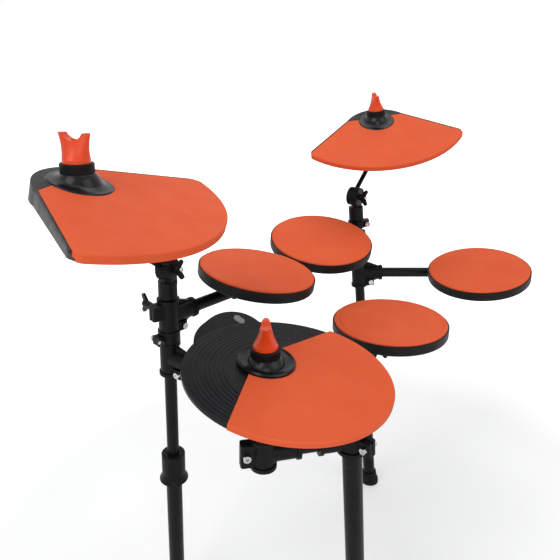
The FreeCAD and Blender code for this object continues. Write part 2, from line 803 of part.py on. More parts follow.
def fan_base():
    """Tapered base shell of a fan: deep at the tail, thin at the arc, ribbed below."""
    top, skin = -fan_rubber, -fan_rubber - fan_wall
    rim = fan_lip + fit
    moves, corner = fan_outline(0, fan_tail_back, rim)
    outer = round_corners(prism(moves, -fan_tail_depth, -fan_rim_drop), corner, fan_corner)
    moves, corner = fan_outline(fan_border - fit, 0, 0)
    outer = outer.cut([prism(moves, top, overrun), cyl(bell_flange_dia + 2 * fit, top, overrun)])
    moves, corner = fan_outline(fan_wall, fan_tail_back, rim + fan_wall)
    inner = round_corners(prism(moves, -fan_tail_depth - overrun, skin), corner, fan_corner - fan_wall)
    hub = cyl(fan_hub_dia, -fan_tail_depth, top)
    rib = block(0, fan_radius - fan_arc_back, -fan_rib / 2, fan_rib / 2, -fan_tail_depth, top)
    ribs = [put(rib, Placement(V(), Rotation(V(0, 0, 1), turn)))
            for turn in (-fan_rib_turn, 0, fan_rib_turn)]
    frame_work = hub.fuse(ribs).common(outer)
    pocket = put(cyl(sensor_dia + 2 * fit, -fan_tail_depth - overrun, skin), sensor_spot())
    body = outer.cut(inner).fuse(frame_work.cut(pocket))
    reach = fan_radius
    taper = plate_xz([(-fan_tail_back, -fan_tail_depth), (corner[0], -fan_outer_depth),
                      (2 * reach, -fan_outer_depth), (2 * reach, -reach), (-fan_tail_back, -reach)],
                     4 * reach)
    return body.cut(taper).cut(cyl(rock_hole_dia, -fan_tail_depth - overrun, overrun)).removeSplitter()


def sensor_spot():
    """Place of the sensor under a fan, beyond the hub along its middle."""
    return Placement(V((fan_hub_dia + sensor_dia) * 3 / 4, 0, 0), Rotation())


def disc_sensor(ceiling):
    """Piezo plate under a cymbal, with its foam ring."""
    pad = cyl(pillar_dia, ceiling - 2 * sensor_plate, ceiling - sensor_plate)
    return joined(cyl(sensor_dia, ceiling - sensor_plate, ceiling), pad)


def ball_rise(dia, radius):
    """Height on a ball above its centre at a radius from its axis."""
    return math.sqrt(dia * dia / 4 - radius * radius)


def bell(seat):
    """Bell from its seat on the cymbal: flange, flared skirt, ball-shaped dome and a seat for the ball."""
    low = seat + rock_drop
    flange, dome = bell_flange_dia / 2, bell_dome_dia / 2
    mouth, throat = bell_mouth_dia / 2, bell_throat_dia / 2
    hollow = ball_dia + 2 * play
    inner = math.sqrt(hollow * hollow / 4 - low * low)
    neck = (bell_dome_share * dome, ball_rise(bell_dome_dia, bell_dome_share * dome))
    side = ball_rise(bell_dome_dia, (neck[0] + mouth) / 2)
    cup = (inner + throat) / 2
    edge = low + bell_flange
    rim = bell_flange / 4
    profile = turned([(inner, low), (flange, low), (flange, edge - rim), (flange - rim, edge),
                      (((flange + neck[0]) / 2, (edge + neck[1]) / 2 - rim / 2), neck),
                      (((neck[0] + mouth) / 2, side), (mouth, ball_rise(bell_dome_dia, mouth))),
                      (throat, ball_rise(hollow, throat)),
                      ((cup, ball_rise(hollow, cup)), (inner, low))])
    return put(profile, Placement(V(0, 0, -rock_drop), Rotation()))


def collar_crown():
    """Top of the stud's collar above the rocking centre."""
    return bell_dome_dia / 2 + play + collar_ring_top


def collar_ring():
    """Collar on the stud whose hollow underside follows the dome of the bell."""
    hollow = bell_dome_dia + 2 * play
    r = collar_ring_dia / 2
    top = collar_crown()
    bend = collar_ring_top / 2
    return turned([(0, hollow / 2), ((r / 2, ball_rise(hollow, r / 2)), (r, ball_rise(hollow, r))),
                   (r, top - bend), ((r - bend / 4, top - bend / 4), (r - bend, top)), (0, top)])


def ellipse(width, thick, height):
    if thick > width:
        curve = Part.Ellipse(V(0, thick / 2, height), V(width / 2, 0, height), V(0, 0, height))
    else:
        curve = Part.Ellipse(V(width / 2, 0, height), V(0, thick / 2, height), V(0, 0, height))
    return Part.Wire(curve.toShape())


def fishtail_nut():
    """Wing nut that rises from a round base to a flat forked blade."""
    seat = collar_crown() + play
    circle = Part.Wire(Part.makeCircle(nut_base_dia / 2, V(0, 0, seat + nut_base)))
    middle = seat + nut_base + nut_waist_share * (nut_height - nut_base)
    waist = ellipse(nut_waist_width, nut_waist_thick, middle)
    blade = ellipse(nut_top_width, nut_top_thick, seat + nut_height)
    body = Part.makeLoft([circle, waist, blade], True).fuse(cyl(nut_base_dia, seat, seat + nut_base))
    half, top = nut_notch_width / 2, seat + nut_height
    notch = plate_xz([(half, top + overrun), (half, top),
                      ((0, top - nut_notch), (-half, top)), (-half, top + overrun)], 2 * nut_top_width)
    return body.cut(notch).cut(cyl(stud_dia + 2 * play, seat - overrun, top + overrun)).removeSplitter()


def stud_top():
    """Ball, collar and threaded end that every stud has, with its stem down to a depth."""
    return [Part.makeSphere(ball_dia / 2), collar_ring()]


def fan_stud(place, across):
    """Stud of a fan with its ball, collar and half of the knuckle, in world coordinates."""
    local = place.Rotation.inverted().multVec(across)
    rod = cyl(stud_dia, -stud_drop, collar_crown() + stud_over)
    side = frame(V(0, 0, -stud_drop), local, V(0, 0, 1))
    half = knuckle / 2
    disc = put(cyl(knuckle_dia, -half, half), side)
    far = -half - knuckle - 2 * play
    pin = put(cyl(knuckle_pin_dia, far - knuckle_pin_head, 0), side)
    head = put(cyl(knuckle_pin_head_dia, far - knuckle_pin_head, far), side)
    return put(rod.fuse(stud_top() + [disc, pin, head]).removeSplitter(), place)


class Boom:
    """Tilter, boom and knuckle between a post and a fan cymbal."""

    def __init__(self, place, post, axis, height):
        self.place, self.axis, self.post, self.height = place, axis, post, height
        self.middle = post(height)
        knee = place.Base - up_of(place) * stud_drop
        reach = knee - self.middle
        self.knuckle_dir = unit(up_of(place).cross(reach))
        self.knuckle_end = knee - self.knuckle_dir * (knuckle + play)
        flat = self.knuckle_end - self.middle
        flat = V(flat.x, flat.y, 0)
        side = unit(V(-flat.y, flat.x, 0))
        if side.x < 0:
            side = side * -1
        offset_share = (tilter_disc / 2 + play / 4) / flat.Length
        self.side = side * math.sqrt(1 - offset_share ** 2) - unit(flat) * offset_share
        turn = Rotation(self.side.cross(V(0, 0, 1)), self.side, V(0, 0, 1), "ZYX")
        self.frame = Placement(self.middle, turn)
        self.knuckle_pos = knee - self.knuckle_dir * ((knuckle + play) / 2)

    def toothed(self, low, high):
        """Disc of the tilter with a notched rim."""
        disc = cyl_y(tilter_disc_dia, low, high)
        notch = put(cyl_y(2 * tilter_tooth, low - overrun, high + overrun),
                    Placement(V(tilter_disc_dia / 2, 0, 0), Rotation()))
        step = 360 / tilter_tooth_count
        notches = [put(notch, Placement(V(), Rotation(V(0, 1, 0), step * i)))
                   for i in range(tilter_tooth_count)]
        return disc.cut(Part.makeCompound(notches))

    def base(self):
        """Half of the tilter on the post: socket, neck and toothed disc."""
        half = tilter_neck / 2
        disc = self.toothed(play / 2, tilter_disc)
        neck = block(-half, half, play / 2, tilter_disc, -tilter_drop, 0)
        upper = put(disc.fuse(neck), self.frame)
        top = self.post(self.height - tilter_drop)
        high = tilter_drop - tilter_disc_dia / 2 - tilter_gap
        socket = put(cyl(tilter_socket_dia, -tilter_socket, high), frame(top, self.axis, V(1, 0, 0)))
        bore = put(cyl(bar_dia + 2 * fit, -tilter_socket - overrun, 0), frame(top, self.axis, V(1, 0, 0)))
        hole = put(cyl_y(wing_bolt_dia + 2 * play, -overrun, tilter_disc + overrun), self.frame)
        return upper.fuse(socket).cut(bore).cut(hole).removeSplitter()

    def boom(self):
        """Rod with the loose half of the tilter and the fixed half of the knuckle."""
        disc = put(self.toothed(-tilter_disc, -play / 2), self.frame)
        start = self.middle - self.side * (tilter_disc / 2 + play / 4)
        reach = self.knuckle_end - start
        rod = Part.makeCylinder(boom_dia / 2, reach.Length, start, reach)
        end_place = frame(self.knuckle_end, self.knuckle_dir, V(0, 0, 1))
        end = put(cyl(knuckle_dia, -knuckle / 2, knuckle / 2), end_place)
        hole = put(cyl_y(wing_bolt_dia + 2 * play, -tilter_disc - overrun, overrun), self.frame)
        pin = put(cyl(knuckle_pin_dia + 2 * play, -knuckle - overrun, knuckle + overrun), end_place)
        return disc.fuse([rod, end]).cut(hole).cut(pin).removeSplitter()

    def wing(self):
        spot = self.frame.multiply(Placement(V(0, tilter_disc + play, 0), Rotation()))
        return put(wing_bolt(2 * tilter_disc + play, 0), spot)


def hihat_plate():
    """Round plate with concentric grooves, thicker in the middle, off centre on its stud."""
    r = hihat_dia / 2 - hihat_lip
    moves = [(0, 0)]
    for i in range(hihat_groove_count):
        at = hihat_groove_first + i * hihat_groove_pitch - hihat_groove_width / 2
        moves += [(at, 0), (at + hihat_groove_width / 2, -hihat_groove_depth), (at + hihat_groove_width, 0)]
    moves += [(r, 0), (r, -hihat_edge), (hihat_groove_first, -hihat_middle), (0, -hihat_middle)]
    plate = put(turned(moves), Placement(V(hihat_offset, 0, 0), Rotation()))
    return plate.cut(cyl(rock_hole_dia, -hihat_middle - overrun, overrun))


def hihat_rubber_pad():
    """Rubber face over the player's side of the plate, wrapped over its rim and open round the bell."""
    r = hihat_dia / 2
    bend = hihat_lip / 2
    disc = turned([(0, 0), (r - hihat_lip + fit, 0), (r - hihat_lip + fit, -hihat_lip_drop),
                   (r, -hihat_lip_drop), (r, hihat_rubber - bend), (r - bend, hihat_rubber),
                   (0, hihat_rubber)])
    far = 2 * hihat_dia
    turn = math.radians(hihat_half_angle)
    edge_x, edge_y = far * math.cos(turn) - hihat_apex_back, far * math.sin(turn)
    wedge = prism([(-hihat_apex_back, 0), (edge_x, -edge_y), (far, -edge_y), (far, edge_y),
                   (edge_x, edge_y)],
                  -hihat_dia, hihat_dia)
    pad = put(disc.common(wedge), Placement(V(hihat_offset, 0, 0), Rotation()))
    return pad.cut(cyl(bell_flange_dia + 2 * fit, -overrun, hihat_rubber + overrun))


def hihat_rod():
    """Stepped rod from the clamp up through the plate, with the ball and collar of a stud."""
    low = -(hihat_stud_place.Base - hihat_hub).Length
    neck = low + rod_clamp_half + hihat_sleeve_above
    stem = turned([(0, low - hihat_rod_below), (bar_dia / 2, low - hihat_rod_below), (bar_dia / 2, neck),
                   (stud_dia / 2, neck + bar_dia / 2), (stud_dia / 2, collar_crown() + stud_over),
                   (0, collar_crown() + stud_over)])
    return stem.fuse(stud_top()).removeSplitter()


# Sound module, in its own frame with the panel's face at Z 0

def module_case():
    """Lower case: a tray with board posts and a row of jack openings in its far wall."""
    low, rim = -module_height, -module_panel
    outer = prism(rounded(module_width, module_depth, module_corner), low, rim)
    bottom = [e for e in outer.Edges if abs(e.BoundBox.ZMax - low) < fit]
    outer = outer.makeFillet(2 * module_wall, bottom)
    wide, deep = module_width - 2 * module_wall, module_depth - 2 * module_wall
    inner = prism(rounded(wide, deep, module_corner - module_wall),
                  low + module_wall, rim + overrun)
    tray = outer.cut(inner)
    x, y = module_post_x_share * module_width, module_post_y_share * module_depth
    posts = [put(cyl(module_post_dia, low + module_wall / 2, low + module_wall + module_board_gap),
                 Placement(V(i * x, j * y, 0), Rotation())) for i in (-1, 1) for j in (-1, 1)]
    tray = tray.fuse(posts)
    for i in range(module_jack_count):
        at = (i - (module_jack_count - 1) / 2) * module_jack_pitch
        jack = put(cyl_y(module_jack_dia, module_depth / 2 - 2 * module_wall, module_depth / 2 + overrun),
                   Placement(V(at, 0, (low + rim) / 2), Rotation()))
        tray = tray.cut(jack)
    ears = put(tilt_ears(module, module_height, module_tilt, module_across), module.inverse())
    return tray.fuse(ears).removeSplitter()


def oval(width, depth):
    return rounded(width, depth, depth / 2 - fit / 4)


def control_spot(x_share, y_share):
    return Placement(V(x_share * module_width, y_share * module_depth, 0), Rotation())


def module_top():
    """Panel with openings for the button and the knob's shaft."""
    plate = prism(rounded(module_width, module_depth, module_corner), -module_panel, 0)
    rims = [e for e in plate.Edges if abs(e.BoundBox.ZMin) < fit]
    plate = plate.makeFillet(module_panel / 2, rims)
    hole = prism(oval(button_width + 2 * play, button_depth + 2 * play), -module_panel - overrun, overrun)
    plate = plate.cut(put(hole, control_spot(button_x_share, button_y_share)))
    shaft = cyl(knob_shaft_dia + 2 * play, -module_panel - overrun, overrun)
    return plate.cut(put(shaft, control_spot(knob_x_share, knob_y_share)))


def module_circuit():
    """Circuit board on the posts of the case, with the button's switch and the knob's control."""
    low = -module_height + module_wall + module_board_gap
    top = low + module_board
    inset = 2 * module_board_inset
    corner = module_corner - module_board_inset
    board = prism(rounded(module_width - inset, module_depth - inset, corner), low, top)
    flange = -module_panel - play - button_flange_thick
    switch = block(-button_depth / 4, button_depth / 4, -button_depth / 4, button_depth / 4,
                   top, flange - button_travel - play)
    pot = cyl(2 * knob_shaft_dia, top, -module_panel - 2 * knob_shaft_dia / 3 - play)
    return joined(board, put(switch, control_spot(button_x_share, button_y_share)),
                  put(pot, control_spot(knob_x_share, knob_y_share)))


def module_button():
    """Oval push button with a flange that keeps it under the panel."""
    under = -module_panel - play
    cap = prism(oval(button_width, button_depth), under, button_proud)
    rims = [e for e in cap.Edges if abs(e.BoundBox.ZMin - button_proud) < fit]
    cap = cap.makeFillet(button_proud / 2, rims)
    wide = 2 * button_flange
    flange = prism(oval(button_width + wide, button_depth + wide), under - button_flange_thick, under)
    return put(joined(cap, flange), control_spot(button_x_share, button_y_share))


def module_knob():
    """Volume knob with a fluted side and its shaft."""
    body = cyl(knob_dia, play, knob_height)
    rims = [e for e in body.Edges if abs(e.BoundBox.ZMin - knob_height) < fit]
    body = body.makeFillet(button_proud / 2, rims)
    rim = Placement(V(knob_dia / 2, 0, 0), Rotation())
    groove = put(cyl(knob_grip_dia, play - overrun, knob_height + overrun), rim)
    grooves = [put(groove, Placement(V(), Rotation(V(0, 0, 1), 360 * i / knob_grip_count)))
               for i in range(knob_grip_count)]
    body = body.cut(Part.makeCompound(grooves))
    shaft = cyl(knob_shaft_dia, -module_panel - 2 * knob_shaft_dia / 3, knob_height / 2)
    return put(joined(body, shaft), control_spot(knob_x_share, knob_y_share))


# The whole kit

crash_boom = Boom(crash_stud_place, left_post, left_axis, left_tilter_height)
ride_boom = Boom(ride_stud_place, right_post, right_axis, right_tilter_height)


def snare_wing_place():
    """Frame of the wing bolt in the side of the snare's saddle."""
    outer = bar_dia / 2 + saddle_wall
    side = unit(snare_dir.cross(V(0, 0, 1)))
    return Placement(snare_end + side * (outer + play), Rotation(V(), side, V(0, 0, 1), "YZX"))


def rack_nodes():
    clamps, bolts = rack_clamps()
    start = bar_dia / 2 + bar_end_gap + play
    thick = leg_dia / 2 + bar_end_gap + play
    past = saddle_length / 2 + cap_plug
    brackets = [saddle(bar, along, pad_tilts[name][0], along)
                for name, (place, bar, along) in pad_bars.items()]
    screw = cyl_y(wing_bolt_dia + 2 * play, -saddle_wall - overrun, overrun)
    brackets = [bracket.cut(put(screw, snare_wing_place())) for bracket in brackets]
    brackets.append(saddle(module_bar, front_dir, module_tilt, module_across))
    snare_tip, right_tip = snare_end + snare_dir * past, right_end + right_dir * past
    caps = [put(end_cap(bar_dia, bar_wall), frame(snare_tip, snare_dir, V(0, 0, 1))),
            put(end_cap(bar_dia, bar_wall), frame(right_tip, right_dir, V(0, 0, 1))),
            put(end_cap(leg_dia, leg_wall), frame(front_post(front_post_top), front_axis, V(1, 0, 0)))]
    left_low = left_post(left_collar_height - slide_overlap)
    left_top = left_post(left_tilter_height - tilter_drop) - left_axis * fit
    right_low = right_post(right_collar_height - slide_overlap)
    right_top = right_post(right_tilter_height - tilter_drop) - right_axis * fit
    front_low, front_top = front_post(0) + front_axis * foot_floor, front_post(front_post_top)
    hihat_near, hihat_far = short_hub + hihat_arm_dir * thick, hihat_hub - hihat_arm_dir * start
    front_near, front_far = front_start + front_dir * start, front_end - front_dir * thick
    return {
        "left_post_tube": tube(left_low, left_top, bar_dia, bar_wall),
        "right_post_tube": tube(right_low, right_top, bar_dia, bar_wall),
        "front_post_tube": tube(front_low, front_top, leg_dia, leg_wall),
        "front_foot": level_foot(front_axis, front_post(0)),
        "rear_bar": tube(rear_start + rear_dir * start, rear_end - rear_dir * start, bar_dia, bar_wall),
        "front_bar": tube(front_near, front_far, bar_dia, bar_wall),
        "right_arm": tube(right_hub + right_dir * start, right_tip, bar_dia, bar_wall),
        "hihat_arm": tube(hihat_near, hihat_far, bar_dia, bar_wall),
        "snare_arm": tube(short_hub + snare_dir * thick, snare_tip, bar_dia, bar_wall),
        "rack_clamps": Part.makeCompound(clamps + [crash_boom.base(), ride_boom.base()]),
        "clamp_bolts": Part.makeCompound(bolts),
        "saddle_brackets": Part.makeCompound(brackets),
        "tube_caps": Part.makeCompound(caps),
        "hihat_rod": put(hihat_rod(), hihat_stud_place),
    }


def leg_nodes():
    nodes = {}
    for name, post, axis, top in (("left", left_post, left_axis, left_collar_height),
                                  ("right", right_post, right_axis, right_collar_height)):
        pieces = leg(post, axis, top)
        for piece, shape in zip(("leg_tube", "height_collar", "foot"), pieces):
            nodes[name + "_" + piece] = shape
    return nodes


def cymbal_nodes():
    nodes = {}
    for name, place, stud, boom in (("crash", crash, crash_stud_place, crash_boom),
                                    ("ride", ride, ride_stud_place, ride_boom)):
        nodes[name + "_boom"] = boom.boom()
        nodes[name + "_tilter_wing"] = boom.wing()
        nodes[name + "_stud"] = fan_stud(stud, boom.knuckle_dir)
        nodes[name + "_base"] = put(fan_base(), place)
        nodes[name + "_rubber"] = put(fan_rubber_pad(), place)
        nodes[name + "_bell"] = put(bell(-fan_rubber), place)
        nodes[name + "_nut"] = put(fishtail_nut(), stud)
        nodes[name + "_sensor"] = put(disc_sensor(-fan_rubber - fan_wall), place.multiply(sensor_spot()))
    nodes["hihat_plate"] = put(hihat_plate(), hihat)
    nodes["hihat_rubber"] = put(hihat_rubber_pad(), hihat)
    nodes["hihat_bell"] = put(bell(0), hihat)
    nut_turn = Placement(V(), Rotation(V(0, 0, 1), hihat_nut_turn))
    nodes["hihat_nut"] = put(fishtail_nut(), hihat_stud_place.multiply(nut_turn))
    nodes["hihat_sensor"] = put(disc_sensor(-hihat_middle), hihat.multiply(sensor_spot()))
    return nodes


def pad_nodes():
    nodes = {}
    for name, (place, bar, along) in pad_bars.items():
        ears = tilt_ears(place, pad_depth, *pad_tilts[name])
        nodes[name + "_shell"] = put(pad_shell(), place).fuse(ears).removeSplitter()
        nodes[name + "_head"] = put(pad_head(name == "snare"), place)
        nodes[name + "_sensor"] = put(pad_sensor(), place)
    return nodes


def module_nodes():
    pieces = {"module_case": module_case(), "module_panel": module_top(), "module_board": module_circuit(),
              "module_button": module_button(), "module_knob": module_knob()}
    return {name: put(shape, module) for name, shape in pieces.items()}


def kit_nodes():
    nodes = rack_nodes()
    for group in (leg_nodes(), cymbal_nodes(), pad_nodes(), module_nodes()):
        nodes.update(group)
    clear = bar_dia / 2 + clamp_wall + clamp_lip - clamp_ear_half + play
    nodes["rear_clamp_wing"] = put(wing_bolt(2 * clamp_ear_half, clear), rear_wing_place())
    nodes["snare_wing"] = put(wing_bolt(saddle_wall, 0), snare_wing_place())
    return nodes


def centring(nodes):
    """Shift that brings the middle of the kit's footprint over the origin."""
    box = FreeCAD.BoundBox()
    for shape in nodes.values():
        box.add(shape.optimalBoundingBox(False, False))
    return V(-box.Center.x, -box.Center.y, -box.ZMin)


def main():
    os.makedirs("parts", exist_ok=True)
    nodes = kit_nodes()
    shift = centring(nodes)
    for name, shape in nodes.items():
        shape.translated(shift).exportStep("parts/" + name + ".step")
    print(len(nodes), "pieces, shifted by", shift)


if __name__ == "__main__":
    main()
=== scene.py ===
import json
import math

import bmesh
import bpy
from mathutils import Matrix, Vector


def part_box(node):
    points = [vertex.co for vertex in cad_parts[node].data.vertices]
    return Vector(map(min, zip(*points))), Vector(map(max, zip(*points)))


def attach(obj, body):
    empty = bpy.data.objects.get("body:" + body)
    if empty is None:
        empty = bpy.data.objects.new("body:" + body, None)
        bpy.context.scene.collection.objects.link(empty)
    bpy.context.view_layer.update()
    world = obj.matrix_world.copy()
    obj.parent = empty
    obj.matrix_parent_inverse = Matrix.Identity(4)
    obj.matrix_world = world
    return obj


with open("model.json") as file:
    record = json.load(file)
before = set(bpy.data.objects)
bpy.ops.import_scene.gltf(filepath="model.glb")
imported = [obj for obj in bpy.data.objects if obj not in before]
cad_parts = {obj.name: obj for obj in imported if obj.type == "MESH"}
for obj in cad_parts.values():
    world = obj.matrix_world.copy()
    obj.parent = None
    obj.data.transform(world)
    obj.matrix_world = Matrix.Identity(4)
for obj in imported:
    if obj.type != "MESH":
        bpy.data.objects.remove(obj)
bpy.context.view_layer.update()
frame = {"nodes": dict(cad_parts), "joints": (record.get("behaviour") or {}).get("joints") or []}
nodes = frame["nodes"]
joints = {joint["name"]: joint for joint in frame["joints"]}
scene = bpy.context.scene
scene.view_settings.view_transform = "Standard"


# Places that the frame gives

def pivot(name):
    """A joint's place and the direction of its axis."""
    joint = joints[name]
    return Vector(joint["pos_m"]), Vector(joint["axis"]).normalized()


def upward(node):
    """Normal of a node's largest flat face, turned to point up."""
    normal = Vector(max(nodes[node].data.polygons, key=lambda face: face.area).normal)
    return normal if normal.z > 0 else -normal


def top(node, along):
    """Point on a line through the origin, level with the part of a node that lies furthest along it."""
    return along * max(vertex.co.dot(along) for vertex in nodes[node].data.vertices)


def middle(node):
    """Middle of a node's box."""
    low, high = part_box(node)
    return (low + high) / 2


# Materials

# a span is the part of a noise's range that a change of colour or sheen takes up
cloud_span = (0.3, 0.7)
sheen_ratio = 3
grain_detail, grain_strength = 3.0, 0.5
scuff_span = (0.56, 0.74)
scuff_detail, scuff_rough = 8.0, 0.7
dust = (150, 146, 144)


def linear(red, green, blue):
    """Linear colour from 0-255 values as a screen shows them, by the sRGB curve."""
    toe, slope, lift, power = 0.04045, 12.92, 0.055, 2.4
    out = []
    for value in (red, green, blue):
        share = value / 255
        out.append(share / slope if share <= toe else ((share + lift) / (1 + lift)) ** power)
    return (*out, 1.0)


class Paint:
    """Node material on the principled shader, with its patterns in the object's own space."""

    def __init__(self, name):
        self.material = bpy.data.materials.new(name)
        self.material.use_nodes = True
        self.tree = self.material.node_tree
        self.shader = self.tree.nodes["Principled BSDF"]
        self.place = self.tree.nodes.new("ShaderNodeTexCoord").outputs["Object"]
        self.relief = None

    def feed(self, socket, value):
        """Link a node's output to a socket, or set the socket's own value."""
        if isinstance(value, bpy.types.NodeSocket):
            self.tree.links.new(value, socket)
        else:
            socket.default_value = value

    def set(self, **inputs):
        """Shader inputs by name, with an underscore for a space."""
        for key, value in inputs.items():
            self.feed(self.shader.inputs[key.replace("_", " ")], value)

    def fed(self, name):
        """The output that feeds one of the shader's inputs."""
        return self.shader.inputs[name].links[0].from_socket

    def node(self, kind, **inputs):
        """New node with inputs by name, with an underscore for a space."""
        made = self.tree.nodes.new(kind)
        for key, value in inputs.items():
            self.feed(made.inputs[key.replace("_", " ")], value)
        return made

    def worked_out(self, kind, way, values):
        """New node that works on its inputs in the named way."""
        made = self.tree.nodes.new(kind)
        made.operation = way
        for socket, value in zip(made.inputs, values):
            self.feed(socket, value)
        return made

    def math(self, way, *values):
        return self.worked_out("ShaderNodeMath", way, values).outputs["Value"]

    def vector(self, way, *values):
        return self.worked_out("ShaderNodeVectorMath", way, values).outputs

    def noise(self, scale, detail=4.0, rough=0.55):
        made = self.node("ShaderNodeTexNoise", Scale=scale, Detail=detail, Roughness=rough, Vector=self.place)
        return made.outputs[0]

    def ramp(self, source, span, low, high):
        """Run from one colour or grey level to another over a span of a value."""
        made = self.node("ShaderNodeValToRGB", Fac=source)
        for element, where, level in zip(made.color_ramp.elements, span, (low, high)):
            element.position = where
            element.color = (level, level, level, 1.0) if isinstance(level, float) else level
        return made.outputs["Color"]

    def mix(self, share, under, over):
        """One colour over another by a share."""
        made = self.tree.nodes.new("ShaderNodeMix")
        made.data_type = "RGBA"
        # a mix node has sockets for numbers, vectors and colours, and these are the ones for colours
        factor, first, second, result = 0, 6, 7, 2
        for socket, value in ((factor, share), (first, under), (second, over)):
            self.feed(made.inputs[socket], value)
        return made.outputs[result]

    def bump(self, height, distance, strength):
        """Relief on top of any earlier relief."""
        made = self.node("ShaderNodeBump", Height=height, Distance=distance, Strength=strength)
        if self.relief is not None:
            self.feed(made.inputs["Normal"], self.relief)
        self.relief = made.outputs["Normal"]
        self.set(Normal=self.relief)

    def height_over(self, spot, along):
        """Height over a place along a direction, in metres."""
        offset = self.vector("SUBTRACT", self.place, spot)["Vector"]
        return self.vector("DOT_PRODUCT", offset, along)["Value"]

    def radius_about(self, spot, along):
        """Distance from the line through a place along a direction, in metres."""
        offset = self.vector("SUBTRACT", self.place, spot)["Vector"]
        arm = self.vector("CROSS_PRODUCT", offset, along)["Vector"]
        return self.vector("LENGTH", arm)["Value"]


def moulded(name, dark, light, mottle, rough, grain, depth, **shader):
    """Surface of two close colours, with an uneven sheen and a fine grain of a depth in metres."""
    paint = Paint(name)
    colour = paint.ramp(paint.noise(mottle), cloud_span, linear(*dark), linear(*light))
    sheen = paint.ramp(paint.noise(mottle * sheen_ratio), cloud_span, *rough)
    paint.set(Base_Color=colour, Roughness=sheen, **shader)
    paint.bump(paint.noise(grain, grain_detail), depth, grain_strength)
    return paint


def scuffed(paint, scale, share):
    """Fine pale scuffs and dust that break up the colour of a handled surface."""
    mask = paint.ramp(paint.noise(scale, scuff_detail, scuff_rough), scuff_span, 0.0, share)
    paint.set(Base_Color=paint.mix(mask, paint.fed("Base Color"), linear(*dust)))
    return paint


def dress(node, paint):
    """Give a CAD node this material alone."""
    materials = nodes[node].data.materials
    materials.clear()
    materials.append(paint.material)


orange_rubber = scuffed(moulded(
    "orange_rubber", dark=(209, 83, 45), light=(217, 91, 51), mottle=9.0, rough=(0.58, 0.70),
    grain=900.0, depth=0.0002, Specular_IOR_Level=0.15), scale=60.0, share=0.05)
orange_plastic = moulded(
    "orange_plastic", dark=(212, 62, 16), light=(222, 71, 23), mottle=22.0, rough=(0.26, 0.38),
    grain=500.0, depth=0.0001, Specular_IOR_Level=0.3)
black_tube = scuffed(moulded(
    "black_tube", dark=(12, 12, 13), light=(18, 17, 18), mottle=30.0, rough=(0.30, 0.42),
    grain=1200.0, depth=0.0001, Specular_IOR_Level=0.11), scale=90.0, share=0.03)
black_casting = scuffed(moulded(
    "black_casting", dark=(11, 11, 12), light=(17, 16, 18), mottle=40.0, rough=(0.36, 0.50),
    grain=1500.0, depth=0.0002, Specular_IOR_Level=0.1), scale=120.0, share=0.03)
black_plastic = scuffed(moulded(
    "black_plastic", dark=(16, 15, 16), light=(22, 21, 22), mottle=24.0, rough=(0.44, 0.58),
    grain=1500.0, depth=0.0002, Specular_IOR_Level=0.12), scale=80.0, share=0.04)
plate_plastic = scuffed(moulded(
    "plate_plastic", dark=(16, 14, 17), light=(22, 20, 24), mottle=20.0, rough=(0.38, 0.50),
    grain=1500.0, depth=0.0002, Specular_IOR_Level=0.1), scale=80.0, share=0.03)
gloss_black = moulded(
    "gloss_black", dark=(9, 9, 12), light=(13, 13, 17), mottle=26.0, rough=(0.20, 0.28),
    grain=300.0, depth=0.00005, Specular_IOR_Level=0.2)
black_rubber = scuffed(moulded(
    "black_rubber", dark=(18, 17, 18), light=(27, 25, 26), mottle=45.0, rough=(0.66, 0.80),
    grain=1300.0, depth=0.0003, Specular_IOR_Level=0.12), scale=70.0, share=0.08)
module_skin = moulded(
    "module_skin", dark=(17, 16, 18), light=(23, 22, 24), mottle=20.0, rough=(0.44, 0.56),
    grain=1800.0, depth=0.0002, Specular_IOR_Level=0.1)
module_face = moulded(
    "module_face", dark=(19, 18, 20), light=(26, 25, 28), mottle=20.0, rough=(0.40, 0.52),
    grain=1800.0, depth=0.0002, Specular_IOR_Level=0.1)
key_grey = moulded(
    "key_grey", dark=(112, 111, 114), light=(126, 125, 128), mottle=60.0, rough=(0.36, 0.48),
    grain=1500.0, depth=0.0001, Specular_IOR_Level=0.3)
circuit_green = moulded(
    "circuit_green", dark=(24, 92, 52), light=(34, 110, 62), mottle=80.0, rough=(0.35, 0.5),
    grain=900.0, depth=0.0001)
brass_plate = moulded(
    "brass_plate", dark=(196, 160, 84), light=(214, 178, 98), mottle=60.0, rough=(0.24, 0.36),
    grain=900.0, depth=0.00005, Metallic=1.0)


def plated_steel(name):
    """Bright plated steel, with faint dulling where it is handled."""
    return moulded(name, dark=(166, 167, 170), light=(196, 197, 200), mottle=60.0, rough=(0.14, 0.28),
                   grain=700.0, depth=0.00003, Metallic=1.0)


bright_steel = plated_steel("bright_steel")

finishes = {
    orange_rubber: "crash_rubber ride_rubber hihat_rubber tom_1_head tom_2_head tom_3_head snare_head",
    orange_plastic: "crash_nut ride_nut hihat_nut",
    black_tube: "left_post_tube right_post_tube front_post_tube rear_bar front_bar right_arm hihat_arm "
                "snare_arm left_leg_tube right_leg_tube crash_boom ride_boom",
    black_casting: "rack_clamps saddle_brackets left_height_collar right_height_collar crash_tilter_wing "
                   "ride_tilter_wing rear_clamp_wing snare_wing",
    black_plastic: "tube_caps tom_1_shell tom_2_shell tom_3_shell snare_shell",
    plate_plastic: "hihat_plate",
    gloss_black: "crash_bell ride_bell hihat_bell",
    black_rubber: "front_foot left_foot right_foot module_knob",
    module_skin: "module_case",
    module_face: "module_panel",
    key_grey: "module_button",
    circuit_green: "module_board",
    brass_plate: "crash_sensor ride_sensor hihat_sensor tom_1_sensor tom_2_sensor tom_3_sensor snare_sensor",
    bright_steel: "clamp_bolts",
}
for paint, names in finishes.items():
    for name in names.split():
        dress(name, paint)


# Turning marks of the round plate, about its middle

